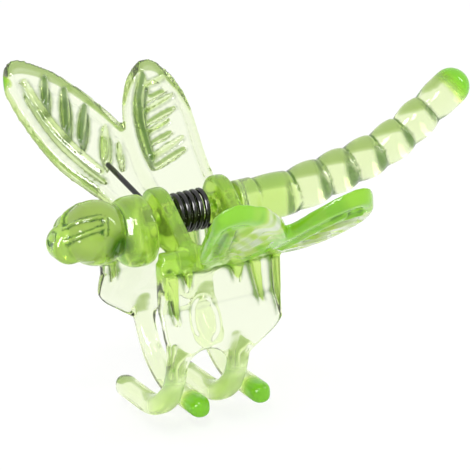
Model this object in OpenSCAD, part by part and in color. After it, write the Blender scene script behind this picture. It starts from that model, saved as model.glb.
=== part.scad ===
// Orchid clip shaped like a dragonfly: two moulded halves on one pin, closed by a torsion spring.
// +X runs from the head to the tail, +Y to the body half's side, +Z up from the claws to the wings.
// The origin is the centre of the round grip that closes on the stem.

/* [Hinge] */
// Height of the hinge axis above the centre of the grip
hinge_h = 13; // [12:0.5:15]
// Diameter of the hinge pin
pin_d = 1.5; // [1.2:0.1:1.6]
// Radial clearance of the pin in the wing half's ears
pin_clearance = 0.05; // [0.02:0.01:0.1]
// Radial clearance of the pin in the body half's bosses
seat_clearance = 0.02; // [0.01:0.01:0.05]
// Depth of the pin's seat in each boss of the body half
pin_seat = 1.4; // [1:0.1:2]
// Outer radius of the ears
ear_r = 3.5; // [3.2:0.1:3.7]
// Thickness of each ear along the hinge
ear_t = 1.85; // [1.2:0.05:2.2]
// Radius of the bosses beside the ears
boss_r = 1.7; // [1.4:0.1:2.2]
// Side clearance between pieces along the hinge
side_gap = 0.3; // [0.2:0.05:0.5]
// Front face of the front ear along X
front_ear_x = -4.1; // [-4.2:0.05:-4]
// Front face of the rear ear along X
rear_ear_x = 3.75; // [3.6:0.05:3.9]

/* [Spring] */
// Outside diameter of the coil
coil_od = 4.9; // [4.2:0.1:5.2]
// Length of the coil along the pin
coil_length = 4.8; // [4.7:0.1:4.9]
// Place of the coil's middle along X
coil_x = 0.55; // [0.5:0.05:0.6]
// Diameter of the spring wire
wire_d = 0.6; // [0.5:0.05:0.6]
// Number of full turns, wound open
coil_turns = 4; // [2:1:4]
// Length of the straight arm on the body half's wings
arm_length = 15.6; // [12:0.2:16]
// Length of the straight arm on the wing half's wings
near_arm_length = 13.2; // [12:0.2:13.6]
// Rise of the arms above level, in degrees
arm_rise = 13.5; // [12:0.5:14]
// Slant of the far arm towards the head, in degrees
arm_slant = 2.5; // [1:0.5:3]

/* [Grip] */
// Inner radius of the closed grip
grip_r = 7.8; // [7:0.1:8.5]
// How far the round part of each jaw plate stands back from the grip
plate_back = 0.25; // [0.22:0.01:0.35]
// Thickness of the jaw plates
plate_t = 1.3; // [1.1:0.1:1.6]
// Distance from the middle plane to the inner face of each jaw plate
plate_inner_y = 6.65; // [6:0.05:7]
// Distance from the middle to the end with the claw, along X
plate_short = 7.35; // [7:0.05:7.6]
// Distance from the middle to the end with the shoulder, along X
plate_long = 7.6; // [7.4:0.05:8]
// Height of the shoulder's corner above the grip's centre
shoulder_z = 0.6; // [0:0.1:2]
// Height of the shoulder's lower end where it meets the claw
shoulder_low_z = -2.4; // [-3:0.1:-1.5]

/* [Claws] */
// Width of each claw along X
claw_w = 2.4; // [2:0.1:2.6]
// Thickness of each claw, square to its path
claw_t = 2.4; // [2:0.1:2.8]
// Distance between the two claws of one jaw
claw_pitch = 7.9; // [7.4:0.1:8.4]
// Reach of the claw tips past the middle plane
claw_reach = 5.2; // [4.6:0.1:6]
// Angle above level where the claw grows out of the plate
claw_top_angle = 6; // [0:1:8]
// Radius of the arch between the claws
arch_r = 2.75; // [2.4:0.05:2.9]
// Width of the oval pad above the arch
pad_w = 2.9; // [2:0.1:3.4]
// Height of the oval pad
pad_h = 5.2; // [4:0.1:6]
// Height of the pad's middle above the grip's centre
pad_z = 3; // [2:0.1:3.5]
// How far the pad stands out of the plate
pad_raise = 0.25; // [0.1:0.05:0.4]

/* [Wings] */
// Thickness of the wing's panel
panel_t = 1.1; // [0.8:0.1:1.3]
// Thickness of the wing's rim
rim_t = 1.5; // [1.4:0.1:1.8]
// Thickness of the wing at its cross ribs
rib_t = 2.1; // [1.6:0.1:2.2]
// Width of the rim
rim_w = 0.9; // [0.6:0.1:1.2]
// Radius of the body half's wings' upward curve
wing_curve_r = 73; // [65:1:85]
// Slope of the body half's wings at their root, in degrees
wing_root_slope = 25.6; // [24:0.2:27]
// Height of the body half's wings' middle surface at their root
wing_root_z = 8.3; // [8:0.05:8.8]
// Radius of the wing half's wings' upward curve
near_curve_r = 66; // [60:1:75]
// Slope of the wing half's wings at their root, in degrees
near_root_slope = 22; // [21:0.2:24]
// Height of the wing half's wings' middle surface at their root
near_root_z = 9.3; // [9:0.05:9.4]
// Distance from the middle plane to the wing's root
wing_root_y = 7.45; // [7.2:0.05:7.8]

/* [Body] */
// Radius of the front barrel
front_r = 4.15; // [3.8:0.05:4.3]
// Distance from the hinge axis down to the front barrel's axis
front_drop = 1; // [0.8:0.1:1]
// Front end of the front barrel along X
front_x = -8.9; // [-9.2:0.1:-8.6]
// Radius of the front barrel's rounded shoulder behind the head
shoulder_r = 2; // [1.6:0.1:2.2]
// Radius of the rounded collar behind the head
collar_r = 3.8; // [3.5:0.1:4]
// Radius of each eye
eye_r = 2.8; // [2.4:0.05:3]
// Sideways place of each eye
eye_y = 1.1; // [0.8:0.1:1.4]
// Radius of the muzzle's round front
muzzle_r = 2.2; // [2:0.1:2.4]
// Width of the muzzle
muzzle_w = 3.8; // [3.4:0.1:4.2]
// Radius of the rear neck
neck_r = 2.4; // [2.2:0.05:2.5]
// Radius of the rear barrel
rear_r = 2.7; // [2.6:0.05:2.9]
// Start of the rear barrel along X
rear_x = 8.7; // [8.5:0.1:9.2]
// Length of the rear barrel
rear_length = 5.2; // [4.5:0.05:5.4]

/* [Tail] */
// Radius of the first bead at its crown
bead_r = 2.7; // [2.5:0.05:2.9]
// Radius of the tail's end at its crown
tip_r = 2.25; // [2:0.05:2.3]
// Depth of the valleys between beads
valley_depth = 0.36; // [0.2:0.02:0.45]

/* [Hidden] */
$fn = 64;
wire_r = wire_d / 2;
coil_r = coil_od / 2 - wire_r;
pin_r = pin_d / 2;
front_boss_x = front_ear_x - side_gap;
rear_boss_x = rear_ear_x + ear_t + side_gap;
// How far the bosses stand out of the barrel and of the neck
boss_shown = 0.5;
front_end_x = front_boss_x - boss_shown;
neck_x = rear_boss_x + boss_shown;
front_z = hinge_h - front_drop;
front_length = front_end_x - front_x;
// Radius of the front barrel's rounded rear edge
rear_edge_r = 0.9;
// Places of the head's forms along X and in height
collar_x = front_x - 2.5;
eye_x = collar_x - 1.5;
muzzle_x = eye_x - 2;
head_z = hinge_h - 0.2;
muzzle_z = hinge_h - 0.8;
muzzle_corner = 1.1;
plate_outer_y = plate_inner_y + plate_t;
plate_inner_r = grip_r + plate_back;
// Thickness of the plate where it swells round the grip
swell_t = 1.1;
plate_outer_r = plate_inner_r + swell_t;
// Height where the plate's flat and round outer faces meet
join_z = sqrt(pow(plate_outer_r, 2) - pow(plate_outer_y, 2));
claw_mid_r = grip_r + claw_t / 2;
claw_x = plate_short - claw_w / 2;
bar_top_z = hinge_h - 1.4;
bar_low_z = hinge_h - 3.8;
bar_outer_y = plate_outer_y + 0.5;
bar_end_x = plate_long + 1.6;
block_x0 = -plate_short + 0.4;
block_x1 = -1.2;
strap_slope = 28.6;
// How far joined forms run into each other
join = 0.5;
bead_overlap = join / 2;
pin_end_gap = 0.1;
barrel_drop = 0.35;
body_curve = [wing_curve_r, wing_root_slope, wing_root_z];
wing_curve = [near_curve_r, near_root_slope, near_root_z];

// The tail's middle line: [x, height above the hinge] at the barrel's end, each valley and the end's round tip
tail_points = [
    [rear_x + rear_length, -barrel_drop], [18.1, 0.5], [21.7, 1.3], [25.5, 2.3], [29.1, 4], [32.2, 6.2], [35.6, 8.45]
];
bead_count = len(tail_points) - 2;

// Outlines in plan, as [x, distance from the middle plane], through which smooth curves run
front_wing_points = [
    [-1.4, 6.9], [-3.2, 10.8], [-4.6, 14.3], [-7.3, 18.3], [-9, 23.2], [-9.8, 27.2],
    [-8.8, 28.7], [-6.6, 28.8], [-3.3, 27.3], [-0.2, 24.5], [2, 21.4], [2.8, 19], [2.6, 16], [2.6, 6.9]
];
rear_wing_points = [
    [1.2, 6.9], [1.4, 14], [2, 19], [3.4, 22.8], [5.2, 25.2], [7, 26.5], [8.7, 26.9],
    [10.1, 26.2], [11.4, 24.2], [11.8, 21.8], [11.4, 19], [10.5, 14.4], [9.7, 6.9]
];
front_vein_points = [[-7.4, 26.8], [-6.9, 24.6], [-6, 21.6], [-4.6, 18.6], [-2.8, 15.6]];
rear_vein_points = [[7.6, 25.2], [5.7, 22.8], [4.6, 20.2], [3.8, 16.2]];
// Each cross rib as its two ends and its greatest width
front_ribs = [
    [[-4.7, 26.7], [-5.9, 24.3], 0.7],
    [[-2.9, 25.3], [-4.7, 21.2], 0.9],
    [[-1.2, 23.4], [-3.6, 19.8], 0.7],
    [[0.2, 20.8], [-1.9, 17], 0.8],
    [[0.9, 18.8], [0, 16.6], 0.4]
];
rear_ribs = [
    [[3.8, 16.1], [9, 17.8], 0.5],
    [[4.7, 19], [8.4, 20], 0.35],
    [[5.6, 21.4], [10.2, 22.6], 0.4],
    [[6.7, 23.9], [10, 24.6], 0.35]
];
// Gussets under the wing root: place of the top and of the point along X, height of the point, width at the top
gussets = [
    [-6.8, -6.9, 5.3, 0.9], [-6.3, -5.6, 2.9, 1.3], [-4.2, -3.8, 6.4, 1.2],
    [1.9, 2.5, 6.3, 2], [4.1, 5.3, 3.2, 1.3], [7, 7.2, 1.2, 0.8]
];

// A smooth curve through points, with steps pieces between neighbours
function curve_point(a, b, c, d, t) =
    0.5 * (2 * b + (c - a) * t + (2 * a - 5 * b + 4 * c - d) * t * t
    + (3 * b - a - 3 * c + d) * t * t * t);
function smooth(p, steps) = [
    for (i = [0 : len(p) - 2], j = [0 : steps - 1])
        curve_point(p[max(i - 1, 0)], p[i], p[i + 1], p[min(i + 2, len(p) - 1)], j / steps),
    p[len(p) - 1]
];
function unit(v) = v / norm(v);
function left_of(v) = [-v[1], v[0]];
function side_at(p, i) = left_of(unit(p[min(i + 1, len(p) - 1)] - p[max(i - 1, 0)]));
// The curve moved sideways by d at every point
function shifted(p, d) = [for (i = [0 : len(p) - 1]) p[i] + d * side_at(p, i)];
// A closed band round the curve, of full width w, narrowing to its ends by taper
function band(p, w, taper) = let (last = len(p) - 1) concat(
    [for (i = [0 : last]) p[i] + side_at(p, i) * w / 2 * (1 - taper * pow(2 * i / last - 1, 2))],
    [for (i = [last : -1 : 0]) p[i] - side_at(p, i) * w / 2 * (1 - taper * pow(2 * i / last - 1, 2))]
);

// Puts a drawing of the YZ plane between two places along X
module along_x(x0, x1) {
    translate([x0, 0, 0]) rotate([90, 0, 90]) linear_extrude(x1 - x0) children();
}

// Puts a drawing of the XZ plane between two places along Y
module along_y(y0, y1) {
    translate([0, y1, 0]) rotate([90, 0, 0]) linear_extrude(y1 - y0) children();
}

module rod(r, x0, x1) {
    along_x(x0, x1) circle(r);
}

// A rectangle with round corners, centred on the origin
module round_rect(w, h, r) {
    square([w - 2 * r, h], center = true);
    square([w, h - 2 * r], center = true);
    for (x = [-1, 1], y = [-1, 1]) translate([x * (w / 2 - r), y * (h / 2 - r)]) circle(r);
}

// A shell of thickness t that follows a wing's curve, drawn on the +Y side; curve is [radius, root slope, root height]
module wing_shell(curve, t) {
    along_x(-2 * plate_long, 2 * plate_long)
        translate([wing_root_y - curve[0] * sin(curve[1]), curve[2] + curve[0] * cos(curve[1])])
            difference() {
                circle(curve[0] + t / 2, $fn = 128);
                circle(curve[0] - t / 2, $fn = 128);
            }
}

module in_wing(curve, t) {
    intersection() {
        wing_shell(curve, t);
        translate([0, 0, bar_low_z - 2]) linear_extrude(hinge_h + 10) children();
    }
}

module wing_rim(p) {
    difference() {
        polygon(p);
        polygon(shifted(p, -rim_w));
    }
}

// One wing: a thin panel with a thick rim, one long vein and cross ribs
module wing(curve, points, vein, ribs) {
    edge = smooth(points, 3);
    in_wing(curve, panel_t) polygon(edge);
    in_wing(curve, rim_t) wing_rim(edge);
    in_wing(curve, rib_t) {
        polygon(band(smooth(vein, 3), rim_w, 0.4));
        for (rib = ribs) polygon(band(smooth([rib[0], (rib[0] + rib[1]) / 2, rib[1]], 3), rib[2], 0.8));
    }
}

module wing_pair(curve) {
    wing(curve, front_wing_points, front_vein_points, front_ribs);
    wing(curve, rear_wing_points, rear_vein_points, rear_ribs);
}

// The bar along the wing's root, which carries the wings and the jaw plate, with its block in front
module root_bar(curve) {
    along_x(-plate_short, bar_end_x)
        polygon([
            [plate_inner_y, bar_low_z - 0.4], [plate_outer_y, bar_low_z - 0.4],
            [bar_outer_y, bar_low_z + 0.2], [bar_outer_y, curve[2] + 1.2],
            [plate_inner_y, curve[2] + 1.2]
        ]);
    along_x(block_x0, block_x1)
        polygon([
            [plate_inner_y, bar_low_z], [bar_outer_y, bar_low_z],
            [bar_outer_y, bar_top_z - 0.5], [bar_outer_y - 0.5, bar_top_z],
            [plate_inner_y, bar_top_z]
        ]);
}

module claw_section() {
    round_rect(claw_w, claw_t, claw_t * 0.36);
}

// One claw of the jaw on the +Y side: down round the grip, then level past the middle plane to a round tip
module claw() {
    intersection() {
        rotate([90, 0, 90]) rotate([0, 0, -90]) rotate_extrude(angle = 90 + claw_top_angle)
            translate([claw_mid_r, 0]) rotate(90) claw_section();
        along_x(-claw_w, claw_w)
            polygon([
                [0, -claw_mid_r - claw_t], [claw_mid_r + claw_t, -claw_mid_r - claw_t],
                [claw_mid_r + claw_t, -4], [claw_mid_r + claw_t / 2 + 0.1, -4],
                [plate_outer_r, 0.5], [plate_inner_y, 0.5], [0, -1]
            ]);
    }
    translate([0, 0, -claw_mid_r]) {
        rotate([90, 0, 0]) linear_extrude(claw_reach) claw_section();
        translate([0, -claw_reach, 0]) rotate([0, 0, 180]) rotate_extrude(angle = 180)
            intersection() {
                claw_section();
                translate([0, -claw_t]) square([claw_w, 2 * claw_t]);
            }
    }
}

module jaw_outline() {
    difference() {
        polygon([
            [-plate_long, bar_low_z + 1], [-plate_long, shoulder_z + 1], [-plate_long + 0.3, shoulder_z + 0.2],
            [-plate_long + 1, shoulder_z - 0.5], [plate_short - claw_pitch - claw_w, shoulder_low_z],
            [plate_short - claw_pitch - claw_w, shoulder_low_z - 2], [plate_short, shoulder_low_z - 2],
            [plate_short, bar_low_z + 1]
        ]);
        translate([claw_x - claw_pitch / 2, shoulder_low_z - 0.95]) circle(arch_r);
        translate([claw_x - claw_pitch / 2 - arch_r, shoulder_low_z - 6])
            square([2 * arch_r, 5.05]);
    }
}

// Section of the jaw plate, its outer face raised by grow
module plate_section(grow) {
    difference() {
        union() {
            circle(plate_outer_r + grow, $fn = 96);
            square([plate_outer_y + grow, bar_top_z - 1]);
        }
        circle(plate_inner_r, $fn = 96);
        translate([-plate_outer_r - 1, -plate_outer_r - 1])
            square([plate_outer_r + 1, 2 * plate_outer_r + hinge_h]);
        square([plate_inner_y, bar_top_z]);
    }
}

// The jaw on the +Y side: a plate that hangs from the root bar and swells round the grip, and two claws
module jaw() {
    intersection() {
        along_x(-plate_long, plate_short) plate_section(0);
        along_y(0, plate_outer_r + 1) jaw_outline();
    }
    intersection() {
        along_x(-plate_long, plate_short) plate_section(pad_raise);
        along_y(plate_inner_y, plate_outer_r + 1)
            translate([claw_x - claw_pitch / 2, pad_z])
                polygon([for (a = [0 : 10 : 350]) [pad_w / 2 * cos(a), pad_h / 2 * sin(a)]]);
    }
    for (x = [claw_x, claw_x - claw_pitch]) translate([x, 0, 0]) claw();
}

// Place of the jaw plate's outer face at a height
function face_y(z) = max(plate_outer_y, sqrt(max(0, pow(plate_outer_r, 2) - z * z)));

// A pointed gusset on the jaw plate's outer face, under the root bar
module gusset(top_x, point_x, low_z, width) {
    intersection() {
        along_x(-plate_long, plate_long + 1)
            polygon([
                [plate_outer_y - 0.5, bar_low_z + 0.6], [plate_outer_y + 1.6, bar_low_z + 0.2],
                [face_y(low_z) + 0.15, low_z], [face_y(low_z) - 0.5, low_z],
                [plate_outer_y - 0.5, max(low_z, join_z)]
            ]);
        along_y(plate_inner_y, plate_outer_r + 2)
            polygon([
                [top_x - width / 2, bar_low_z + 1], [top_x + width / 2, bar_low_z + 1],
                [point_x + 0.15, low_z], [point_x - 0.15, low_z]
            ]);
    }
}

// A web that joins a barrel to the root bar and leaves the grip free
module web(x0, x1, top_y) {
    along_x(x0, x1)
        difference() {
            polygon([
                [0, hinge_h - 4.2], [0, hinge_h], [top_y, hinge_h + 1.2],
                [plate_outer_y - 0.3, bar_top_z], [plate_outer_y - 0.3, bar_low_z - 3],
                [plate_inner_y, bar_low_z - 3.4], [2, bar_low_z - 1]
            ]);
            circle(grip_r + 0.15, $fn = 96);
        }
}

// The first part, as long as shown, of a round bead along +X from the origin
module bead(length, crown, shown) {
    bulge_r = (pow(length / 2, 2) + pow(valley_depth, 2)) / (2 * valley_depth);
    rotate([0, 90, 0]) rotate_extrude()
        intersection() {
            translate([crown - bulge_r, length / 2]) circle(bulge_r, $fn = 128);
            translate([0, -bead_overlap]) square([crown + 1, shown + 2 * bead_overlap]);
        }
}

function bead_crown(i) = bead_r + (tip_r - bead_r) * i / bead_count;
function tail_way(i) = tail_points[i + 1] - tail_points[i];

// Places what is drawn along +X from one point of the tail's middle line towards the next
module at_tail(i) {
    translate([tail_points[i][0], 0, hinge_h + tail_points[i][1]])
        rotate([0, -atan2(tail_way(i)[1], tail_way(i)[0]), 0]) children();
}

module tail() {
    for (i = [0 : bead_count - 1])
        at_tail(i) bead(norm(tail_way(i)), bead_crown(i), norm(tail_way(i)));
    at_tail(bead_count) {
        bead(2 * norm(tail_way(bead_count)), tip_r, norm(tail_way(bead_count)) - bead_overlap);
        translate([norm(tail_way(bead_count)), 0, 0]) sphere(tip_r);
    }
}

module head() {
    translate([collar_x, 0, head_z]) sphere(collar_r);
    for (s = [-1, 1]) translate([eye_x, s * eye_y, head_z]) sphere(eye_r);
    translate([muzzle_x, 0, muzzle_z]) rotate([90, 0, 0])
        rotate_extrude()
            intersection() {
                round_rect(2 * muzzle_r, muzzle_w, muzzle_corner);
                translate([0, -muzzle_w]) square([2 * muzzle_r, 2 * muzzle_w]);
            }
}

module front_barrel() {
    translate([front_x, 0, front_z]) rotate([0, 90, 0]) rotate_extrude() {
        square([front_r - shoulder_r, front_length]);
        translate([0, shoulder_r]) square([front_r - rear_edge_r, front_length - shoulder_r]);
        translate([0, shoulder_r]) square([front_r, front_length - shoulder_r - rear_edge_r]);
        for (end = [[shoulder_r, shoulder_r], [rear_edge_r, front_length - rear_edge_r]])
            translate([front_r - end[0], end[1]]) circle(end[0]);
    }
    translate([0, 0, hinge_h]) rod(boss_r, front_end_x - join, front_boss_x);
}

module rear_barrel() {
    translate([0, 0, hinge_h]) {
        rod(boss_r, rear_boss_x, neck_x + join);
        rod(neck_r, neck_x, rear_x + join);
    }
    translate([0, 0, hinge_h - barrel_drop]) rod(rear_r, rear_x, rear_x + rear_length);
}

// The half with the head, both barrels and the tail
module body_half() {
    color([0.62, 0.86, 0.2, 0.7])
        difference() {
            union() {
                head();
                front_barrel();
                rear_barrel();
                tail();
                web(-plate_long, front_end_x - rear_edge_r, front_r - 1);
                web(neck_x, plate_short, neck_r - 0.8);
                root_bar(body_curve);
                jaw();
                wing_pair(body_curve);
                for (g = gussets) gusset(g[0], g[1], g[2], g[3]);
            }
            translate([0, 0, hinge_h])
                rod(pin_r + seat_clearance, front_boss_x - pin_seat, rear_boss_x + pin_seat);
        }
}

module ears() {
    for (x = [front_ear_x, rear_ear_x])
        along_x(x, x + ear_t) {
            translate([0, hinge_h]) circle(ear_r);
            polygon([
                [ear_r * sin(strap_slope), hinge_h + ear_r * cos(strap_slope)],
                [plate_outer_y, bar_top_z - 0.3], [plate_outer_y, bar_low_z - 0.2],
                [plate_inner_y, bar_low_z - 0.3], [1.2, hinge_h - 3.2]
            ]);
        }
}

// The half with the ears: the same wings, and the jaw turned half round so that the claws pass each other
module wing_half() {
    color([0.56, 0.84, 0.16, 0.7])
        difference() {
            union() {
                mirror([0, 1, 0]) {
                    wing_pair(wing_curve);
                    root_bar(wing_curve);
                    ears();
                    for (g = gussets) gusset(g[0], g[1], g[2], g[3]);
                }
                rotate([0, 0, 180]) jaw();
            }
            translate([0, 0, hinge_h])
                rod(pin_r + pin_clearance, front_ear_x - 1, rear_ear_x + ear_t + 1);
        }
}

module hinge_pin() {
    color([0.62, 0.86, 0.2, 0.7])
        translate([0, 0, hinge_h])
            rod(pin_r, front_boss_x - pin_seat + pin_end_gap, rear_boss_x + pin_seat - pin_end_gap);
}

// The wire's route: in from the +Y wing, round the pin from front to rear, and out to the -Y wing
rings_per_turn = 8;
wire_sides = 6;
coil_angle = 360 * coil_turns + 2 * arm_rise;
coil_start_x = coil_x - coil_length / 2 + wire_r;
coil_run = coil_length - wire_d;
ring_angles = concat([for (i = [0 : rings_per_turn * coil_turns]) i * 360 / rings_per_turn], [coil_angle]);

function spoke(a) = [0, cos(arm_rise - 90 - a), sin(arm_rise - 90 - a)];
function coil_point(a) = [coil_start_x + coil_run * a / coil_angle, 0, hinge_h] + coil_r * spoke(a);

coil_route = [for (a = ring_angles) coil_point(a)];
far_end = coil_point(0) + arm_length * [-sin(arm_slant), cos(arm_rise), sin(arm_rise)];
near_end = coil_point(coil_angle) + near_arm_length * [0, -cos(arm_rise), sin(arm_rise)];
route = concat([far_end], coil_route, [near_end]);
route_spokes = concat([spoke(0)], [for (a = ring_angles) spoke(a)], [spoke(coil_angle)]);

// One ring of points round the wire, square to the route
function wire_ring(i) =
    let (along = unit(route[min(i + 1, len(route) - 1)] - route[max(i - 1, 0)]))
    let (side = unit(cross(along, route_spokes[i])))
    let (up = cross(side, along))
    [for (k = [0 : wire_sides - 1])
        route[i] + wire_r * (cos(360 * k / wire_sides) * up + sin(360 * k / wire_sides) * side)];

wire_rings = [for (i = [0 : len(route) - 1]) wire_ring(i)];
wire_points = [for (ring = wire_rings) each ring];
last_ring = wire_sides * (len(route) - 1);
wire_faces = concat(
    [for (i = [0 : len(route) - 2], k = [0 : wire_sides - 1], half = [0, 1])
        let (a = i * wire_sides + k, b = i * wire_sides + (k + 1) % wire_sides)
        half == 0 ? [a, b, b + wire_sides] : [a, b + wire_sides, a + wire_sides]],
    [for (k = [1 : wire_sides - 2]) [0, k + 1, k]],
    [for (k = [1 : wire_sides - 2]) [last_ring, last_ring + k, last_ring + k + 1]]
);

// The least distance between points of the wire that are half a turn or more apart along it
turn_gap = min([
    for (i = [0 : len(route) - 1], j = [i + rings_per_turn / 2 : 1 : len(route) - 1])
        for (p = wire_rings[i], q = wire_rings[j]) norm(p - q)
]);
echo(least_gap_of_the_spring_to_itself = turn_gap);

module torsion_spring() {
    color("dimgray") polyhedron(points = wire_points, faces = wire_faces, convexity = 6);
}

body_half();
wing_half();
torsion_spring();
hinge_pin();
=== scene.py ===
"""The dragonfly orchid clip: clear green plastic halves, a black spring and a white studio."""

import math

import bpy
import numpy as np
from mathutils import Matrix, Vector
from mathutils.bvhtree import BVHTree


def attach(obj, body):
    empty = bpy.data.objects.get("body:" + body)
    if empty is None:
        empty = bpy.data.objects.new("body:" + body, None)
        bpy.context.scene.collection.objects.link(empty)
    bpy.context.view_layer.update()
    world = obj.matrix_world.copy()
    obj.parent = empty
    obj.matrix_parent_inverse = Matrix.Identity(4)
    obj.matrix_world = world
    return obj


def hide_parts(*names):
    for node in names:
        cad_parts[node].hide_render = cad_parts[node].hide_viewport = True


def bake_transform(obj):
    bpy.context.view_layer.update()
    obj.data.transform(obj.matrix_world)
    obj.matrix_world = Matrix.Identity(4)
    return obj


MM = 0.001

# The hinge axis runs along X at this height
HINGE_Z = 13 * MM

# Moulded look: size of the remeshing grid, and rounds of smoothing everywhere and then on some places
GRID = 0.195 * MM
SMOOTHING = 0.5
SMOOTH_ROUNDS = 3
THICK_ROUNDS = 5
CLAW_ROOT_ROUNDS = 30
EAR_ROUNDS = 12
RIM_ROUNDS = 8
# The pin's hole in the ears and its seat in the body half
PIN_HOLE_R = 0.82 * MM
PIN_SEAT_R = 0.78 * MM
# Points this far outside and inside a hole's radius belong to its wall
WALL_OUTSIDE = 0.2 * MM
WALL_INSIDE = 0.3 * MM

# Places on the mouldings. Each pair says between which two distances, in millimetres, a place starts or
# ends: _X, _Y and _Z along these axes, _OUT away from the middle plane, and _R away from the hinge.
WINGS_Z = (9.5, 11)
WINGS_OUT = (9, 11)
THICK_R = (1.2, 1.8)
THICK_X = (8, 8.4)
EAR_R = (1.6, 2.2)
EAR_X = (6, 6.2)
EAR_Z = (8.5, 9.5)
JAW_Z = (7.8, 8.4)
JAW_OUT = (5, 6)
CLAW_ROOT_OUT = (5.5, 6.5)
CLAW_ROOT_FOOT_Z = (-7, -5.5)
CLAW_ROOT_TOP_Z = (0.8, 1.8)
GUSSET_PROUD = (0.35, 0.65)
GUSSET_Z = (0.8, 1.6)
GUSSET_TIP_Z = (4, 6.5)
ROOT_BAR_OUT = (6.3, 6.8)
ROOT_BAR_Z = (8.4, 9.2)
ROOT_END_OUT = (8.8, 10.5)
HEAD_X = (-9.6, -9)
BARREL_Z = (9, 10)
BARREL_END_X = (8, 9)
REAR_BARREL_X = (6.8, 7.6)
TAIL_X = (13.2, 14.4)
NEAR_WINGS_Z = (8.6, 10)
NEAR_WINGS_Y = (-11, -9)
NEAR_CLAWS_Z = (-6, -1)
NEAR_CLAWS_Y = (-5, 0)
HINGE_SIDE_Z = (8, 9.5)
HINGE_SIDE_Y = (-9, -8)

# The tail's middle line as x and height above the hinge, as in the CAD source
TAIL_LINE = (
    (8.7, -0.35), (13.9, -0.35), (18.1, 0.5), (21.7, 1.3),
    (25.5, 2.3), (29.1, 4), (32.2, 6.2), (35.6, 8.45),
)
# Its beads: radius at first and at last, depth of the valleys, and how far the crowns lean to the rear
BEAD_R = 2.7 * MM
TIP_R = 2.25 * MM
VALLEY = 0.34 * MM
BARREL_VALLEY = 0.2 * MM
BEAD_SKEW = 1.25
# Shares of a bead's radius between which points belong to its surface, and the rear barrel's inner one
BEAD_INNER = 0.7
BEAD_OUTER = 1.3
BARREL_INNER = 0.92
# Half length, along the tail, of the painted shade low in its valleys, and how much longer it is below
MARK_HALF = 0.25 * MM
MARK_LONGER = 0.6 * MM
# Depths below the tail's line, in millimetres, between which a mark starts and between which it widens, and
# how soft its ends are
MARK_START = (0.2, 1.2)
MARK_WIDENS = (0.3, 2.4)
MARK_SOFT = (0, 0.35)

# Outlines of each half's two wings in plan, from the root's front corner round to its rear corner, as x and
# distance from the middle plane, and the parts of them that are the wings' front edges
FRONT_WING = (
    (-3.2, 10.8), (-4.6, 14.3), (-7.3, 18.3), (-9, 23.2), (-9.8, 27.2), (-8.8, 28.7), (-6.6, 28.8),
    (-3.3, 27.3), (-0.2, 24.5), (2, 21.4), (2.8, 19), (2.6, 16),
)
REAR_WING = (
    (1.4, 14), (2, 19), (3.4, 22.8), (5.2, 25.2), (7, 26.5), (8.7, 26.9),
    (10.1, 26.2), (11.4, 24.2), (11.8, 21.8), (11.4, 19), (10.5, 14.4), (9.7, 6.9),
)
LEADING_EDGES = (FRONT_WING[:7], REAR_WING[:6])
# Distances from these lines, in millimetres, at which the rims and the green of the front edges fade
RIM_FADE = (0.8, 1.4)
EDGE_FADE = (0.6, 5)
# Turns of the two sets of streaks in the wings, in radians a millimetre outwards
FINE_STREAKS = 4.2
BROAD_STREAKS = 1.9
# The veins of the body half's wings in plan that get the deepest painted shade, and the distances from them
# at which it fades
SHADED_VEINS = (
    ((7.6, 25.2), (5.7, 22.8), (4.6, 20.2), (3.8, 16.2)),
    ((-4.7, 26.7), (-5.9, 24.3)),
    ((-2.9, 25.3), (-4.7, 21.2)),
    ((-1.2, 23.4), (-3.6, 19.8)),
)
VEIN_FADE = (0.18, 0.45)

# Outer face of the jaw plates above the grip, and their outer radius round it
PLATE_OUT = 7.95
PLATE_R = 9.15

# Raised lines on each side of the head, as directions from its middle, and their size
HEAD = np.array((-11.4, 0, 12.8)) * MM
HEAD_REACH = 5 * MM
HEAD_LINES = (
    ((-3.6, -0.4, 1.3), (-0.1, -2.6, 2.75)),
    ((0.15, -2.7, 2.6), (-0.4, -3.7, 0.8)),
    ((-3.7, -0.75, -0.1), (-0.2, -3.35, 1.8)),
)
LINE_HALF = 0.26 * MM
LINE_CORE = 0.4
LINE_RAISE = 0.2 * MM
# Half width of the lines with the painted shade beside them, and the shares between which that shade starts
FLANK_HALF = 2 * LINE_HALF
FLANK_STARTS = (0.1, 0.7)
# Painted shade patch low on the back of the hood, on each side, and the distances from its middle at which
# it fades
HOOD_SHADE_PATCH = (-9.9, 3.3, 11.7)
HOOD_SHADE_FADE = (0.81, 2.7)

# Depth of plastic, in millimetres, from which it looks green, and at which it looks fully green
GREEN_DEPTH = (1.9, 5)
MOST_DEPTH = 9 * MM
# How far below the surface the search for that depth starts
SKIN = 0.02 * MM
# The same two depths for the rims and ribs of the wings, how green these get, and how deep their painted
# shade is
RIB_DEPTH = (1.35, 2.05)
RIB_GREEN = 0.27
RIB_SHADE = 0.25
# Hollowness of the surface, in sizes of the grid, from which it gets painted shade and at which that shade
# is full, and how much less that is on the wings
CREASE_SHADE_HOLLOW = (0.012, 0.06)
WING_CREASE_SHADE_LESS = 0.4

# Greenness of the thickest places, against 1 at the green ends, and how far it is held back from the rear
# barrel on, and further from the tail on
THICK_GREEN = 0.32
BARREL_CLEAR = 0.3
TAIL_CLEAR = 0.65
# Greenness of the gussets and root bars, the near claws and the wing half beside the hinge
ROOT_GREEN = 0.5
CLAW_GREEN = 0.24
HINGE_SIDE_GREEN = 0.34
# Greenness of the near wings: everywhere, in the streaks, along the front edges, and at most
WING_GREEN = 0.04
STREAK_GREEN = 0.45
EDGE_GREEN = 0.75
MOST_WING_GREEN = 0.9
# Milkiness everywhere, how much more it is on the barrels and on the head, and that of the near claws
LEAST_MILK = 0.04
BARREL_MILK = 0.1
HEAD_MILK = 0.32
CLAW_MILK = 0.7
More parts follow.
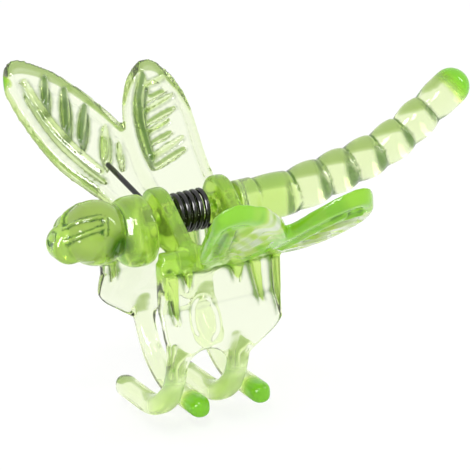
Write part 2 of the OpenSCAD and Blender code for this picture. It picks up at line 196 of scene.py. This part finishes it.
# Painted shade beside the head's lines, in the most shaded veins and at the lower ends of the gussets
FLANK_SHADE = 0.9
VEIN_SHADE = 0.9
GUSSET_TIP_SHADE = 0.6
# Green tips: the centre, and the distances from it at which the green starts to fade and is gone
WING_TIP = ((-9.7, 27.9, 22.5), 0.8, 1.3)
TAIL_TIP = ((37.2, 0, 22.6), 2.25, 3.5)
CLAW_TIPS = (((-1.75, -5.6, -9), 1.6, 3.8), ((6.15, -5.6, -9), 1.6, 3.8))

# Spring: wire, coil and both arms
WIRE_R = 0.33 * MM
COIL_R = 2.1 * MM
COIL_FRONT_X = -1.5 * MM
COIL_REAR_X = 2.62 * MM
COIL_TURNS = 5
ARM_RISE = math.radians(13.5)
ARM_SLANT = math.radians(2.5)
FAR_ARM_LENGTH = 15.5 * MM
NEAR_ARM_LENGTH = 13.2 * MM
RINGS_PER_TURN = 28
WIRE_SIDES = 14
# Shares of an arm's length at which it has a ring
ARM_RINGS = (0.05, 0.25, 0.5, 0.75, 1)

# The room's colour from straight below to above
ROOM = (
    (0.0, (0.36, 0.5, 0.16)),
    (0.2, (0.42, 0.55, 0.2)),
    (0.235, (0.6, 0.7, 0.42)),
    (0.26, (1, 1, 1)),
)
# How much of the way to white the room goes for all but refracted light
ROOM_PALER = 0.8
# Share of the room's light that falls on matt surfaces
ROOM_ON_MATT = 0.85

# The floor lies below the claws, also where they swing lowest; its tone, its glow, and the glow's share
FLOOR_Z = -12 * MM
FLOOR_SIZE = 4
FLOOR_TONE = 0.95
FLOOR_GLOW = 1.03
FLOOR_WHITE = 0.75

# Lamps: name, place, size and power in watts, and whether only gloss shows them
LAMPS = (
    ("key", (-0.12, -0.2, 0.25), (0.08, 0.12), 0.4, False),
    ("rim", (0.25, -0.12, 0.2), (0.03, 0.15), 0.2, False),
    ("strip", (-0.28, -0.12, 0.15), (0.1, 0.3), 2.6, True),
)
LAMP_AIM = Vector((0, 0, 0.01))

# Camera
CAMERA_RIGHT = Vector((0.8863, -0.4614, -0.0395))
CAMERA_UP = Vector((0.195, 0.2945, 0.9355))
CAMERA_BACK = Vector((-0.42, -0.8369, 0.351))
CAMERA_TARGET = Vector((2.05, 0, 13)) * MM
CAMERA_OFFSET = Vector((3.977, -3.057, 438.7)) * MM
LENS = 292.4
SENSOR = 36

# Plastic
INDEX = 1.46
ABSORPTION = 100.0
ABSORPTION_COLOR = (0.7, 0.87, 0.0, 1)
# Base colour from clear places to the green ends
GREENS = (
    (0.0, (0.97, 1, 0.9)),
    (0.32, (0.62, 0.85, 0.16)),
    (0.6, (0.38, 0.71, 0.045)),
    (1.0, (0.2, 0.56, 0.015)),
)
# How clear the plastic stays at the same places
CLEARNESS = ((0.0, 1), (0.32, 0.85), (0.6, 0.6), (1.0, 0.15))
# Tint of the painted shade in inner corners and other shaded places, and how much of the clearness milky
# places lose
PAINTED_SHADE_TINT = (0.07, 0.16, 0.015)
MOST_MILK = 0.6
# Fine wear in the gloss: its grain, and the roughness of clear and of green places where it is strongest
WEAR_SCALE = 900
CLEAR_ROUGH = 0.03
GREEN_ROUGH = 0.22
# Flow marks of the moulding: their grain, height and strength
FLOW_SCALE = 260
FLOW_HEIGHT = 0.06 * MM
FLOW_STRENGTH = 0.25

# Black wire: grain of the drawing marks, and the least and greatest tone and roughness
DRAWN_SCALE = 3000
WIRE_TONE = (0.04, 0.075)
WIRE_ROUGH = (0.09, 0.18)


def node(tree, kind, **values):
    n = tree.nodes.new(kind)
    for key, value in values.items():
        setattr(n, key, value)
    return n


def ramp_node(tree, stops):
    """A colour ramp through stops, each a position and a colour."""
    n = node(tree, "ShaderNodeValToRGB")
    for _ in stops[2:]:
        n.color_ramp.elements.new(0.5)
    for element, (position, colour) in zip(n.color_ramp.elements, stops):
        element.position = position
        element.color = (*colour, 1)
    return n


def grain(tree, scale, detail):
    """Noise that is fixed to the object."""
    place = node(tree, "ShaderNodeTexCoord")
    noise = node(tree, "ShaderNodeTexNoise")
    noise.inputs["Scale"].default_value = scale
    noise.inputs["Detail"].default_value = detail
    tree.links.new(place.outputs["Object"], noise.inputs["Vector"])
    return noise.outputs["Fac"]


def spread(tree, value, low, high):
    """A value from 0 to 1 spread from low to high."""
    wider = node(tree, "ShaderNodeMapRange")
    wider.inputs["To Min"].default_value = low
    wider.inputs["To Max"].default_value = high
    tree.links.new(value, wider.inputs["Value"])
    return wider


def product(tree, a, b):
    both = node(tree, "ShaderNodeMath", operation="MULTIPLY")
    tree.links.new(a, both.inputs[0])
    tree.links.new(b, both.inputs[1])
    return both.outputs["Value"]


def larger_of(tree, a, b):
    both = node(tree, "ShaderNodeMath", operation="MAXIMUM")
    tree.links.new(a, both.inputs[0])
    tree.links.new(b, both.inputs[1])
    return both.outputs["Value"]


def moulded(source, name):
    """A rounded, one-piece copy of a CAD node."""
    obj = bpy.data.objects.new(name, source.data.copy())
    bpy.context.collection.objects.link(obj)
    remesh = obj.modifiers.new("remesh", "REMESH")
    remesh.mode = "VOXEL"
    remesh.voxel_size = GRID
    smooth = obj.modifiers.new("smooth", "SMOOTH")
    smooth.factor = SMOOTHING
    smooth.iterations = SMOOTH_ROUNDS
    graph = bpy.context.evaluated_depsgraph_get()
    mesh = bpy.data.meshes.new_from_object(obj.evaluated_get(graph))
    obj.modifiers.clear()
    obj.data = mesh
    mesh.materials.clear()
    mesh.shade_smooth()
    return obj


def points_of(obj):
    co = np.empty(len(obj.data.vertices) * 3)
    obj.data.vertices.foreach_get("co", co)
    return co.reshape(-1, 3)


def set_points(obj, co):
    obj.data.vertices.foreach_set("co", co.ravel())
    obj.data.update()


def true_hole(obj, radius):
    """Gives the pin's hole its true round radius again after the remeshing."""
    co = points_of(obj)
    y = co[:, 1]
    z = co[:, 2] - HINGE_Z
    r = np.hypot(y, z)
    wall = (r < radius + WALL_OUTSIDE) & (r > radius - WALL_INSIDE)
    scale = np.where(wall, radius / np.maximum(r, 1e-9), 1)
    co[:, 1] = y * scale
    co[:, 2] = z * scale + HINGE_Z
    set_points(obj, co)


def rise(value, span):
    """0 below a span and 1 above it, with a smooth step between."""
    low, high = span
    t = np.clip((value - low) / (high - low), 0, 1)
    return t * t * (3 - 2 * t)


def fall(value, span):
    """1 below a span and 0 above it, with a smooth step between."""
    return 1 - rise(value, span)


def largest(*values):
    """The largest of several values at each point."""
    return np.maximum.reduce(np.broadcast_arrays(*values))


def tail_stretches():
    """The stretches of the tail's middle line, each as its start, its direction and its length."""
    line = [np.array((x * MM, HINGE_Z + z * MM)) for x, z in TAIL_LINE]
    stretches = []
    for start, end in zip(line, line[1:]):
        length = np.linalg.norm(end - start)
        stretches.append((start, (end - start) / length, length))
    return stretches


def beside_stretch(at, start, way):
    """How far each point lies along a stretch of the tail's line and how far above that line."""
    dx = at[:, 0] - start[0]
    dz = at[:, 2] - start[1]
    return dx * way[0] + dz * way[1], dz * way[0] - dx * way[1]


def beads(obj):
    """Gives the rear barrel a slight swell, and the tail its crisp beads again, each ending in a valley."""
    co = points_of(obj)
    stretches = tail_stretches()
    last = len(stretches) - 1
    for i, (start, way, length) in enumerate(stretches):
        along, up = beside_stretch(co, start, way)
        r = np.hypot(up, co[:, 1])
        t = along / length
        crown = BEAD_R + (TIP_R - BEAD_R) * max(i - 1, 0) / (last - 1)
        depth = VALLEY if i > 0 else BARREL_VALLEY
        inner = BEAD_INNER if i > 0 else BARREL_INNER
        wanted = crown - depth * (1 - np.sin(np.pi * np.clip(t, 0, 1) ** BEAD_SKEW) ** 0.8)
        if i == last:
            wanted = np.where(t > 0.5, crown, wanted)
        mine = (t > 0) & (t <= 1) & (r > crown * inner) & (r < crown * BEAD_OUTER)
        scale = np.where(mine, wanted / np.maximum(r, 1e-9), 1)
        side = up * (scale - 1)
        co[:, 0] -= side * way[1]
        co[:, 1] *= scale
        co[:, 2] += side * way[0]
    set_points(obj, co)


def tail_valley_shade(at):
    """1 in the painted shade low in the valleys of the tail and 0 elsewhere."""
    share = np.zeros(len(at))
    for start, way, length in tail_stretches()[:-1]:
        along, up = beside_stretch(at, start, way)
        down = -up / MM
        half = MARK_HALF + MARK_LONGER * rise(down, MARK_WIDENS)
        mark = rise((half - np.abs(along - length)) / MM, MARK_SOFT) * rise(down, MARK_START)
        share = np.maximum(share, mark * (np.hypot(up, at[:, 1]) < BEAD_OUTER * BEAD_R))
    return share


def head_lines(at, half):
    """1 along the raised lines of the head, falling to 0 at the distance half from their middles."""
    from_middle = at - HEAD
    from_middle[:, 1] = -np.abs(from_middle[:, 1])
    far = np.linalg.norm(from_middle, axis=1)
    way = from_middle / np.maximum(far, 1e-9)[:, None]
    share = np.zeros(len(at))
    for a, b in HEAD_LINES:
        first = np.array(Vector(a).normalized())
        last = np.array(Vector(b).normalized())
        across = np.cross(first, last)
        across /= np.linalg.norm(across)
        inside = (np.cross(first, way) @ across > 0) & (np.cross(way, last) @ across > 0)
        beside = np.abs(way @ across) * far
        share = np.maximum(share, inside * fall(beside, (LINE_CORE * half, half)))
    return share * (far < HEAD_REACH)


def raise_head_lines(obj):
    co = points_of(obj)
    way = co - HEAD
    way /= np.maximum(np.linalg.norm(way, axis=1), 1e-9)[:, None]
    set_points(obj, co + way * (LINE_RAISE * head_lines(co, LINE_HALF))[:, None])


def line_flank_shade(at):
    """1 in the painted shade close beside the raised lines of the head and 0 on and away from them."""
    return rise(head_lines(at, FLANK_HALF) - head_lines(at, LINE_HALF), FLANK_STARTS)


def hood_shade_patch(at):
    """1 in the painted shade patches of the hood, falling to 0 round them."""
    x, y, z = at.T / MM
    away = np.stack([x, np.abs(y), z], axis=1) - HOOD_SHADE_PATCH
    return fall(np.linalg.norm(away, axis=1), HOOD_SHADE_FADE)


def ends_of(obj):
    """The two end points of each edge."""
    ends = np.empty(len(obj.data.edges) * 2, dtype=np.int64)
    obj.data.edges.foreach_get("vertices", ends)
    return ends.reshape(-1, 2)


def around(ends, value):
    """The mean of the neighbours' values at each point."""
    size = len(value)
    total = np.bincount(ends[:, 0], weights=value[ends[:, 1]], minlength=size)
    total += np.bincount(ends[:, 1], weights=value[ends[:, 0]], minlength=size)
    return total / np.bincount(ends.ravel(), minlength=size)


def points_around(ends, co):
    return np.stack([around(ends, co[:, axis]) for axis in range(3)], axis=1)


def soften(obj, share, rounds):
    """Evens out the surface where share, one number for each point, is above 0."""
    co = points_of(obj)
    ends = ends_of(obj)
    for _ in range(rounds):
        co += (points_around(ends, co) - co) * (SMOOTHING * share)[:, None]
    set_points(obj, co)


def far_out(at):
    """1 on the wings and 0 elsewhere."""
    _, y, z = at.T / MM
    return rise(z, WINGS_Z) * rise(np.abs(y), WINGS_OUT)


def claw_root_share(at):
    """1 where the claws grow out of the plates, and 0 elsewhere."""
    _, y, z = at.T / MM
    return rise(np.abs(y), CLAW_ROOT_OUT) * rise(z, CLAW_ROOT_FOOT_Z) * fall(z, CLAW_ROOT_TOP_Z)


def ear_share(at):
    """1 on the ears round the pin and 0 elsewhere, the pin's hole left out."""
    x, y, z = at.T / MM
    from_hinge = np.hypot(y, z - HINGE_Z / MM)
    return rise(from_hinge, EAR_R) * fall(np.abs(x), EAR_X) * rise(z, EAR_Z)


def thick_share(at):
    """1 away from the wings, the tail and the pin's hole, and 0 there."""
    x, y, z = at.T / MM
    from_hinge = np.hypot(y, z - HINGE_Z / MM)
    return (1 - far_out(at)) * rise(from_hinge, THICK_R) * fall(x, THICK_X)


def plate_share(at):
    """1 on the jaw plates and the outer parts of the claws, and 0 elsewhere."""
    _, y, z = at.T / MM
    return fall(z, JAW_Z) * rise(np.abs(y), JAW_OUT)


def near_lines(at, lines, fade):
    """1 close to lines drawn in plan, falling to 0 between the two distances of fade, in millimetres."""
    x, y, _ = at.T / MM
    plan = np.stack([x, np.abs(y)], axis=1)
    near = np.full(len(at), float(max(fade)))
    for line in lines:
        for a, b in zip(line, line[1:]):
            start = np.array(a)
            way = np.array(b) - start
            t = np.clip(((plan - start) @ way) / (way @ way), 0, 1)
            near = np.minimum(near, np.linalg.norm(plan - start - t[:, None] * way, axis=1))
    return fall(near, fade)


def flow_streaks(at):
    """Uneven wavy streaks, from 0 to 1, that run across the wings."""
    x, y, _ = at.T / MM
    out = np.abs(y)
    fine = np.sin(FINE_STREAKS * out + 1.4 * np.sin(0.45 * x))
    broad = np.sin(BROAD_STREAKS * out + 0.35 * x + 1.2)
    return (0.5 + 0.25 * (fine + broad)) ** 2


def rim_share(at):
    """1 on the rims of the wings and 0 elsewhere."""
    return near_lines(at, (FRONT_WING, REAR_WING), RIM_FADE) * far_out(at)


def gussets(at):
    """1 on the gussets, which stand out from the jaw plates, and 0 elsewhere."""
    _, y, z = at.T / MM
    out = np.abs(y)
    plate = np.maximum(PLATE_OUT, np.sqrt(np.maximum(0, PLATE_R**2 - z**2)))
    return rise(out - plate, GUSSET_PROUD) * rise(z, GUSSET_Z) * fall(out, ROOT_END_OUT)


def gusset_tip_shade_mask(at):
    """1 at the lower ends of the gussets, which get painted shade, and 0 elsewhere."""
    return gussets(at) * fall(at[:, 2] / MM, GUSSET_TIP_Z)


def root_zone(at):
    """1 on the gussets and on the bars along the wings' roots, and 0 elsewhere."""
    _, y, z = at.T / MM
    out = np.abs(y)
    bar = rise(out, ROOT_BAR_OUT) * rise(z, ROOT_BAR_Z) * fall(out, ROOT_END_OUT)
    return np.maximum(gussets(at), bar)


def smoothed(obj, value, rounds):
    """Each point's value evened out with its neighbours', several times over."""
    ends = ends_of(obj)
    for _ in range(rounds):
        value = 0.2 * value + 0.8 * around(ends, value)
    return value


def crease_shade_mask(obj):
    """1 along the sharp inner corners of the surface, where painted shade goes, falling to 0 beside them.
    """
    co = points_of(obj)
    normals = np.empty(len(co) * 3)
    obj.data.vertices.foreach_get("normal", normals)
    hollow = ((points_around(ends_of(obj), co) - co) * normals.reshape(-1, 3)).sum(axis=1) / GRID
    return rise(smoothed(obj, hollow, 2), CREASE_SHADE_HOLLOW)


def depths(obj):
    """How much plastic lies behind each point, straight in from the surface, in millimetres."""
    mesh = obj.data
    tree = BVHTree.FromPolygons([v.co for v in mesh.vertices], [tuple(p.vertices) for p in mesh.polygons])
    found = np.zeros(len(mesh.vertices))
    for v in mesh.vertices:
        inward = -v.normal
        hit = tree.ray_cast(v.co + inward * SKIN, inward, MOST_DEPTH)
        found[v.index] = hit[3] if hit[0] is not None else MOST_DEPTH
    return found / MM


def keep(obj, name, value):
    kept = obj.data.attributes.new(name, "FLOAT", "POINT")
    kept.data.foreach_set("value", value.astype(np.float32))


def note_looks(obj, clear, edges, milk, painted_shade):
    """Keeps on each point how green and how milky the plastic looks, and the painted shade that darkens it.
    """
    at = points_of(obj)
    wings = far_out(at)
    depth = depths(obj)
    thick = THICK_GREEN * rise(depth, GREEN_DEPTH) * (1 - clear)
    ribs = smoothed(obj, rise(depth, RIB_DEPTH), 2) * wings
    # Painted shade: inner corners, and the wings' thick ribs and rims, get a deeper tint where shade and
    # refraction fall
    crease_shading = crease_shade_mask(obj) * (1 - WING_CREASE_SHADE_LESS * wings)
    keep(obj, "green", largest(smoothed(obj, thick, 3), RIB_GREEN * ribs, edges))
    keep(obj, "milk", milk)
    keep(obj, "painted_shade", largest(crease_shading, RIB_SHADE * ribs, painted_shade))


def note_body_looks(obj):
    """Clear plates and tail, milky head and barrels, and painted shade on veins, in the tail's valleys and
    on the head.
    """
    at = points_of(obj)
    x, _, z = at.T / MM
    clear_rear = BARREL_CLEAR * rise(x, REAR_BARREL_X) + TAIL_CLEAR * rise(x, TAIL_X)
    barrels = rise(z, BARREL_Z) * (1 - far_out(at)) * fall(x, BARREL_END_X)
    milky = LEAST_MILK + BARREL_MILK * barrels + HEAD_MILK * fall(x, HEAD_X)
    veins = near_lines(at, SHADED_VEINS, VEIN_FADE) * far_out(at)
    # Painted shade: hood patches, beside the head's lines, low in the tail's valleys and on some veins;
    # these places are made milkier too
    shade_marks = largest(hood_shade_patch(at), FLANK_SHADE * line_flank_shade(at), tail_valley_shade(at), VEIN_SHADE * veins)
    clear = largest(clear_rear, plate_share(at))
    milk = largest(milky, shade_marks)
    # Painted shade also at the lower ends of the gussets
    painted_shade = largest(shade_marks, GUSSET_TIP_SHADE * gusset_tip_shade_mask(at))
    note_looks(obj, clear, ROOT_GREEN * root_zone(at), milk, painted_shade)


def note_wing_looks(obj):
    """Milky wings with green streaks and front edges, milky claws, and green beside the hinge."""
    at = points_of(obj)
    _, y, z = at.T / MM
    wings = rise(z, NEAR_WINGS_Z) * fall(y, NEAR_WINGS_Y)
    claws = fall(z, NEAR_CLAWS_Z) * fall(y, NEAR_CLAWS_Y)
    hinge_side = rise(z, HINGE_SIDE_Z) * rise(y, HINGE_SIDE_Y)
    front_edges = near_lines(at, LEADING_EDGES, EDGE_FADE)
    wing_green = WING_GREEN + STREAK_GREEN * flow_streaks(at) + EDGE_GREEN * front_edges
    greens = largest(
        wings * np.minimum(wing_green, MOST_WING_GREEN),
        CLAW_GREEN * claws,
        HINGE_SIDE_GREEN * hinge_side,
        ROOT_GREEN * root_zone(at),
    )
    milk = largest(LEAST_MILK, wings, CLAW_MILK * claws)
    # Painted shade at the lower ends of the gussets
    note_looks(obj, plate_share(at), greens, milk, GUSSET_TIP_SHADE * gusset_tip_shade_mask(at))


def tip_mask(tree, tips):
    """1 at each tip, falling to 0 away from it; a tip is its centre and the distances of the fall."""
    place = node(tree, "ShaderNodeTexCoord")
    total = None
    for centre, full, none in tips:
        far = node(tree, "ShaderNodeVectorMath", operation="DISTANCE")
        far.inputs[1].default_value = Vector(centre) * MM
        tree.links.new(place.outputs["Object"], far.inputs[0])
        fade = node(tree, "ShaderNodeMapRange", interpolation_type="SMOOTHSTEP")
        fade.inputs["From Min"].default_value = full * MM
        fade.inputs["From Max"].default_value = none * MM
        fade.inputs["To Min"].default_value = 1
        fade.inputs["To Max"].default_value = 0
        tree.links.new(far.outputs["Value"], fade.inputs["Value"])
        total = fade.outputs["Result"] if total is None else larger_of(tree, total, fade.outputs["Result"])
    return total


def green_plastic(name, tips):
    mat = bpy.data.materials.new(name)
    mat.use_nodes = True
    tree = mat.node_tree
    shader = tree.nodes["Principled BSDF"]
    shader.inputs["IOR"].default_value = INDEX
    green = node(tree, "ShaderNodeAttribute", attribute_name="green")
    most = green.outputs["Fac"]
    if tips:
        most = larger_of(tree, most, tip_mask(tree, tips))
    tint = ramp_node(tree, GREENS)
    tree.links.new(most, tint.inputs["Fac"])
    # Painted shade: the base colour is multiplied by a deep green tint where the painted shade share is
    # high
    painted_shade = node(tree, "ShaderNodeAttribute", attribute_name="painted_shade")
    painted_shading = node(tree, "ShaderNodeMix", data_type="RGBA", blend_type="MULTIPLY")
    painted_shading.inputs["B"].default_value = (*PAINTED_SHADE_TINT, 1)
    tree.links.new(painted_shade.outputs["Fac"], painted_shading.inputs["Factor"])
    tree.links.new(tint.outputs["Color"], painted_shading.inputs["A"])
    tree.links.new(painted_shading.outputs["Result"], shader.inputs["Base Color"])
    clear = ramp_node(tree, [(position, (level, level, level)) for position, level in CLEARNESS])
    tree.links.new(most, clear.inputs["Fac"])
    milk = node(tree, "ShaderNodeAttribute", attribute_name="milk")
    left = spread(tree, milk.outputs["Fac"], 1, 1 - MOST_MILK)
    seen_through = product(tree, clear.outputs["Color"], left.outputs["Result"])
    tree.links.new(seen_through, shader.inputs["Transmission Weight"])
    rough = spread(tree, most, CLEAR_ROUGH, GREEN_ROUGH)
    rough.inputs["From Max"].default_value = THICK_GREEN
    worn = product(tree, grain(tree, WEAR_SCALE, 3), rough.outputs["Result"])
    tree.links.new(worn, shader.inputs["Roughness"])
    bump = node(tree, "ShaderNodeBump")
    bump.inputs["Strength"].default_value = FLOW_STRENGTH
    bump.inputs["Distance"].default_value = FLOW_HEIGHT
    tree.links.new(grain(tree, FLOW_SCALE, 1), bump.inputs["Height"])
    tree.links.new(bump.outputs["Normal"], shader.inputs["Normal"])
    inside = node(tree, "ShaderNodeVolumeAbsorption")
    inside.inputs["Color"].default_value = ABSORPTION_COLOR
    inside.inputs["Density"].default_value = ABSORPTION
    tree.links.new(inside.outputs["Volume"], tree.nodes["Material Output"].inputs["Volume"])
    return mat


def black_wire():
    mat = bpy.data.materials.new("black_spring_steel")
    mat.use_nodes = True
    tree = mat.node_tree
    shader = tree.nodes["Principled BSDF"]
    shader.inputs["Metallic"].default_value = 1
    drawn = grain(tree, DRAWN_SCALE, 4)
    tone = spread(tree, drawn, *WIRE_TONE)
    tree.links.new(tone.outputs["Result"], shader.inputs["Base Color"])
    rough = spread(tree, drawn, *WIRE_ROUGH)
    tree.links.new(rough.outputs["Result"], shader.inputs["Roughness"])
    return mat


def spring_route():
    """The wire's middle line: in along the far arm, round the coil, out along the near arm."""
    start = ARM_RISE - math.pi / 2
    turn = 2 * math.pi * COIL_TURNS + 2 * ARM_RISE
    steps = RINGS_PER_TURN * COIL_TURNS + 2
    coil = []
    for i in range(steps + 1):
        t = i / steps
        a = start - turn * t
        x = COIL_FRONT_X + (COIL_REAR_X - COIL_FRONT_X) * t
        coil.append(Vector((x, COIL_R * math.cos(a), HINGE_Z + COIL_R * math.sin(a))))
    far_way = Vector((-math.sin(ARM_SLANT), math.cos(ARM_RISE), math.sin(ARM_RISE)))
    near_way = Vector((0, -math.cos(ARM_RISE), math.sin(ARM_RISE)))
    far_arm = [coil[0] + far_way * FAR_ARM_LENGTH * s for s in reversed(ARM_RINGS)]
    near_arm = [coil[-1] + near_way * NEAR_ARM_LENGTH * s for s in ARM_RINGS]
    return far_arm + coil + near_arm


def tube(name, route, radius, sides):
    """A closed round tube along a route, its rings turned no more than they must."""
    verts = []
    faces = []
    side = None
    last = len(route) - 1
    for i, p in enumerate(route):
        along = (route[min(i + 1, last)] - route[max(i - 1, 0)]).normalized()
        if side is None:
            side = along.orthogonal().normalized()
        side = (side - along * side.dot(along)).normalized()
        up = along.cross(side)
        for k in range(sides):
            a = 2 * math.pi * k / sides
            verts.append(p + (side * math.cos(a) + up * math.sin(a)) * radius)
    for i in range(last):
        for k in range(sides):
            a = i * sides + k
            b = i * sides + (k + 1) % sides
            faces.append((a, b, b + sides, a + sides))
    faces.append(tuple(range(sides - 1, -1, -1)))
    faces.append(tuple(last * sides + k for k in range(sides)))
    mesh = bpy.data.meshes.new(name)
    mesh.from_pydata(verts, [], faces)
    mesh.shade_smooth()
    obj = bpy.data.objects.new(name, mesh)
    bpy.context.collection.objects.link(obj)
    return obj


def white_surroundings():
    world = bpy.data.worlds.new("studio")
    bpy.context.scene.world = world
    world.use_nodes = True
    tree = world.node_tree
    tree.nodes.clear()
    out = node(tree, "ShaderNodeOutputWorld")
    light = node(tree, "ShaderNodeBackground")
    tree.links.new(light.outputs["Background"], out.inputs["Surface"])
    place = node(tree, "ShaderNodeTexCoord")
    apart = node(tree, "ShaderNodeSeparateXYZ")
    tree.links.new(place.outputs["Generated"], apart.inputs["Vector"])
    height = node(tree, "ShaderNodeMapRange")
    height.inputs["From Min"].default_value = -1
    height.inputs["From Max"].default_value = 1
    tree.links.new(apart.outputs["Z"], height.inputs["Value"])
    room = ramp_node(tree, ROOM)
    tree.links.new(height.outputs["Result"], room.inputs["Fac"])
    path = node(tree, "ShaderNodeLightPath")
    paler = spread(tree, path.outputs["Is Transmission Ray"], ROOM_PALER, 0)
    whiter = larger_of(tree, paler.outputs["Result"], path.outputs["Is Camera Ray"])
    mix = node(tree, "ShaderNodeMix", data_type="RGBA")
    mix.inputs["B"].default_value = (1, 1, 1, 1)
    tree.links.new(whiter, mix.inputs["Factor"])
    tree.links.new(room.outputs["Color"], mix.inputs["A"])
    tree.links.new(mix.outputs["Result"], light.inputs["Color"])
    level = spread(tree, path.outputs["Is Diffuse Ray"], 1, ROOM_ON_MATT)
    tree.links.new(level.outputs["Result"], light.inputs["Strength"])


def add_floor():
    """A white floor that keeps a faint shadow; refracted light passes it and shows the room."""
    half = FLOOR_SIZE / 2
    corners = ((-half, -half), (half, -half), (half, half), (-half, half))
    mesh = bpy.data.meshes.new("floor")
    mesh.from_pydata([(x, y, FLOOR_Z) for x, y in corners], [], [(0, 1, 2, 3)])
    floor = bpy.data.objects.new("floor", mesh)
    bpy.context.collection.objects.link(floor)
    floor.visible_transmission = False
    mat = bpy.data.materials.new("floor")
    mat.use_nodes = True
    tree = mat.node_tree
    tree.nodes.clear()
    matt = node(tree, "ShaderNodeBsdfDiffuse")
    matt.inputs["Color"].default_value = (FLOOR_TONE, FLOOR_TONE, FLOOR_TONE, 1)
    white = node(tree, "ShaderNodeEmission")
    white.inputs["Strength"].default_value = FLOOR_GLOW
    path = node(tree, "ShaderNodeLightPath")
    share = node(tree, "ShaderNodeMath", operation="MULTIPLY")
    share.inputs[1].default_value = FLOOR_WHITE
    tree.links.new(path.outputs["Is Camera Ray"], share.inputs[0])
    mix = node(tree, "ShaderNodeMixShader")
    tree.links.new(share.outputs["Value"], mix.inputs["Fac"])
    tree.links.new(matt.outputs["BSDF"], mix.inputs[1])
    tree.links.new(white.outputs["Emission"], mix.inputs[2])
    out = node(tree, "ShaderNodeOutputMaterial")
    tree.links.new(mix.outputs["Shader"], out.inputs["Surface"])
    mesh.materials.append(mat)


def softbox(name, place, size, power, gloss_only):
    data = bpy.data.lights.new(name, "AREA")
    data.shape = "RECTANGLE"
    data.size = size[0]
    data.size_y = size[1]
    data.energy = power
    obj = bpy.data.objects.new(name, data)
    obj.location = place
    obj.rotation_euler = (LAMP_AIM - Vector(place)).to_track_quat("-Z", "Y").to_euler()
    obj.visible_diffuse = not gloss_only
    obj.visible_transmission = not gloss_only
    bpy.context.collection.objects.link(obj)


def add_camera():
    data = bpy.data.cameras.new("camera")
    data.lens = LENS
    data.sensor_width = SENSOR
    data.clip_start = 0.01
    data.clip_end = 10
    obj = bpy.data.objects.new("camera", data)
    turn = Matrix((CAMERA_RIGHT, CAMERA_UP, CAMERA_BACK)).transposed()
    place = CAMERA_TARGET + turn @ CAMERA_OFFSET
    obj.matrix_world = Matrix.Translation(place) @ turn.to_4x4()
    bpy.context.collection.objects.link(obj)
    bpy.context.scene.camera = obj


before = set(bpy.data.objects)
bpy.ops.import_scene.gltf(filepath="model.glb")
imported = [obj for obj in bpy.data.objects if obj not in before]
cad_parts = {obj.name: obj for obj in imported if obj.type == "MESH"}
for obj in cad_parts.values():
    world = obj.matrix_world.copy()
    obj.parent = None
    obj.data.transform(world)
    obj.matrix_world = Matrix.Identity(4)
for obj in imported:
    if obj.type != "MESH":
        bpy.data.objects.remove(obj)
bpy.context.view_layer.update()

body = moulded(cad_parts["body_half"], "dressed_body_half")
soften(body, thick_share(points_of(body)), THICK_ROUNDS)
soften(body, claw_root_share(points_of(body)), CLAW_ROOT_ROUNDS)
soften(body, rim_share(points_of(body)), RIM_ROUNDS)
true_hole(body, PIN_SEAT_R)
beads(body)
raise_head_lines(body)
note_body_looks(body)
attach(body, "body")
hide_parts("body_half")
body.data.materials.append(green_plastic("green_plastic", (WING_TIP, TAIL_TIP, *CLAW_TIPS)))

wing = moulded(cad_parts["wing_half"], "dressed_wing_half")
soften(wing, thick_share(points_of(wing)), THICK_ROUNDS)
soften(wing, claw_root_share(points_of(wing)), CLAW_ROOT_ROUNDS)
soften(wing, ear_share(points_of(wing)), EAR_ROUNDS)
soften(wing, rim_share(points_of(wing)), RIM_ROUNDS)
true_hole(wing, PIN_HOLE_R)
note_wing_looks(wing)
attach(wing, "wing_side")
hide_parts("wing_half")
wing.data.materials.append(green_plastic("green_plastic_wing_half", ()))

spring = tube("dressed_torsion_spring", spring_route(), WIRE_R, WIRE_SIDES)
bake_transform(spring)
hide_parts("torsion_spring")
spring.data.materials.append(black_wire())

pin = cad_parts["hinge_pin"]
pin.data.materials.clear()
pin.data.materials.append(green_plastic("pin_plastic", ()))

white_surroundings()
add_floor()
for lamp in LAMPS:
    softbox(*lamp)
add_camera()

view = bpy.context.scene.view_settings
view.view_transform = "Standard"
view.look = "None"
